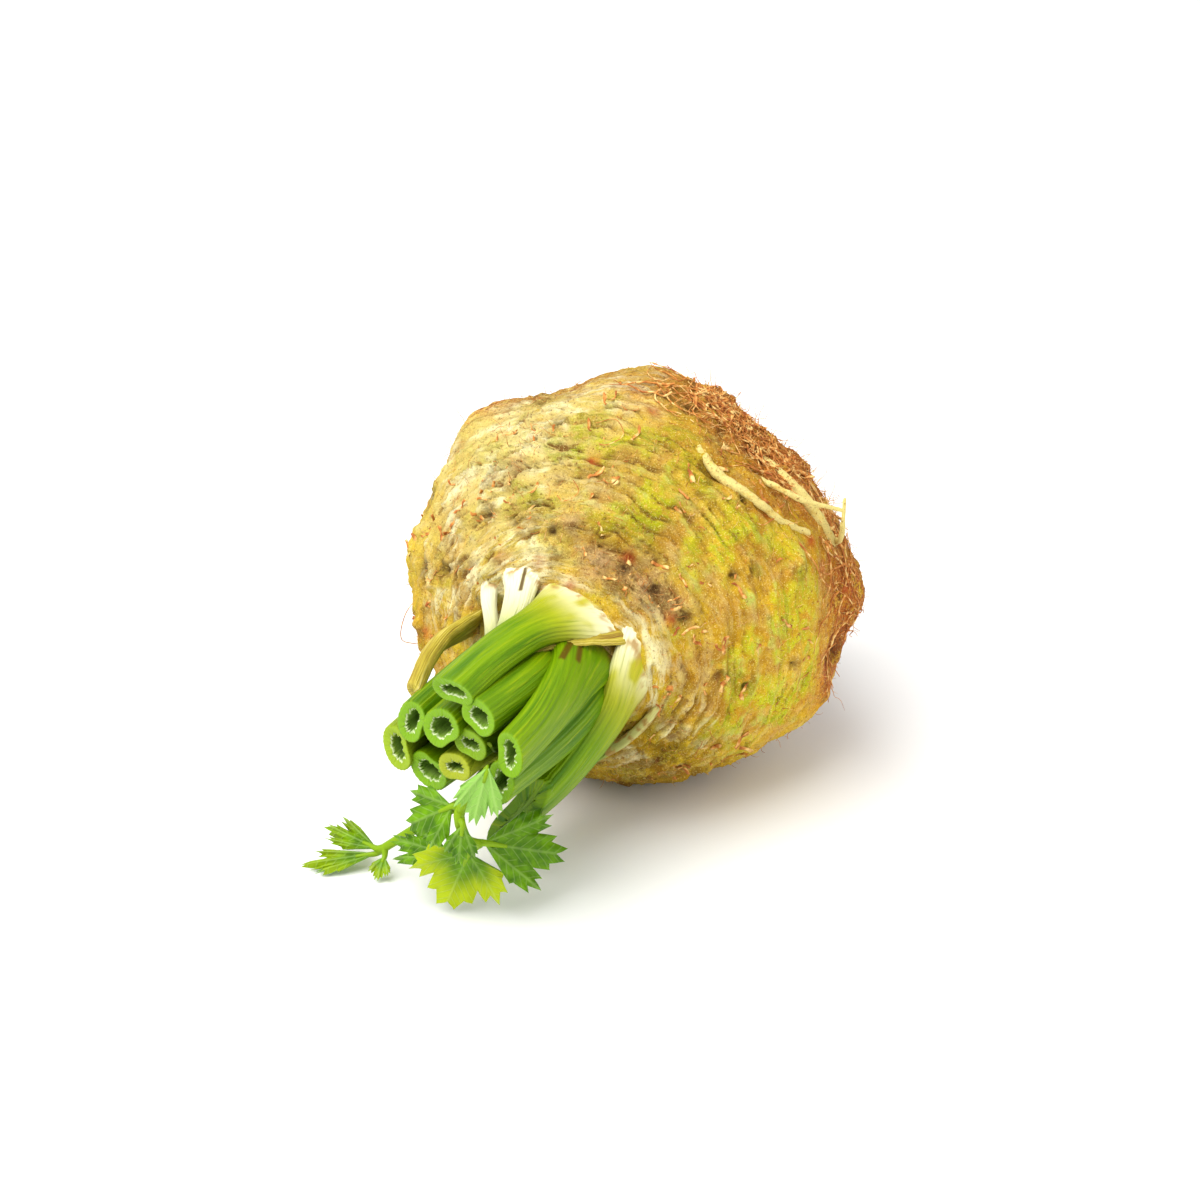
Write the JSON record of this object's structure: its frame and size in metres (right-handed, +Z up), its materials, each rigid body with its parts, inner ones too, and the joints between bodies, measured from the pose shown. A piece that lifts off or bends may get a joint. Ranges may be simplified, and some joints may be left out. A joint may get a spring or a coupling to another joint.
{
  "type": "celeriac root",
  "caption": "Celeriac lying on its side: a knobbly round root with hollow leaf stalks cut off short, a withered leaf base and small toothed leaves.",
  "frame": {"origin": "middle of the small flat spot that the root lies on, at table height", "axes": "+Z up from the table; the stalks point towards -Y and a little towards -X; the root end points towards +Y"},
  "size_m": [0.1568, 0.1965, 0.1172],
  "materials": {
    "skin": "rough tan and yellow-green root skin with brown scars",
    "stalk": "satin ribbed green stalk, pale at its base",
    "withered": "dull dried yellow-brown leaf base",
    "leaf": "satin leaf green, paler underneath"
  },
  "bodies": {
    "root": {"bulb": "skin", "stalk_top": "stalk", "stalk_right": "stalk", "stalk_upper": "stalk", "stalk_lower_right": "stalk", "stalk_outer_right": "stalk", "stalk_left": "stalk", "stalk_outer_left": "stalk", "stalk_middle": "stalk", "stalk_heart": "stalk", "stalk_young": "stalk", "stalk_lower": "stalk", "withered_stalk": "withered", "leaf_front": "leaf", "leaf_left": "leaf"}
  },
  "joints": []
}
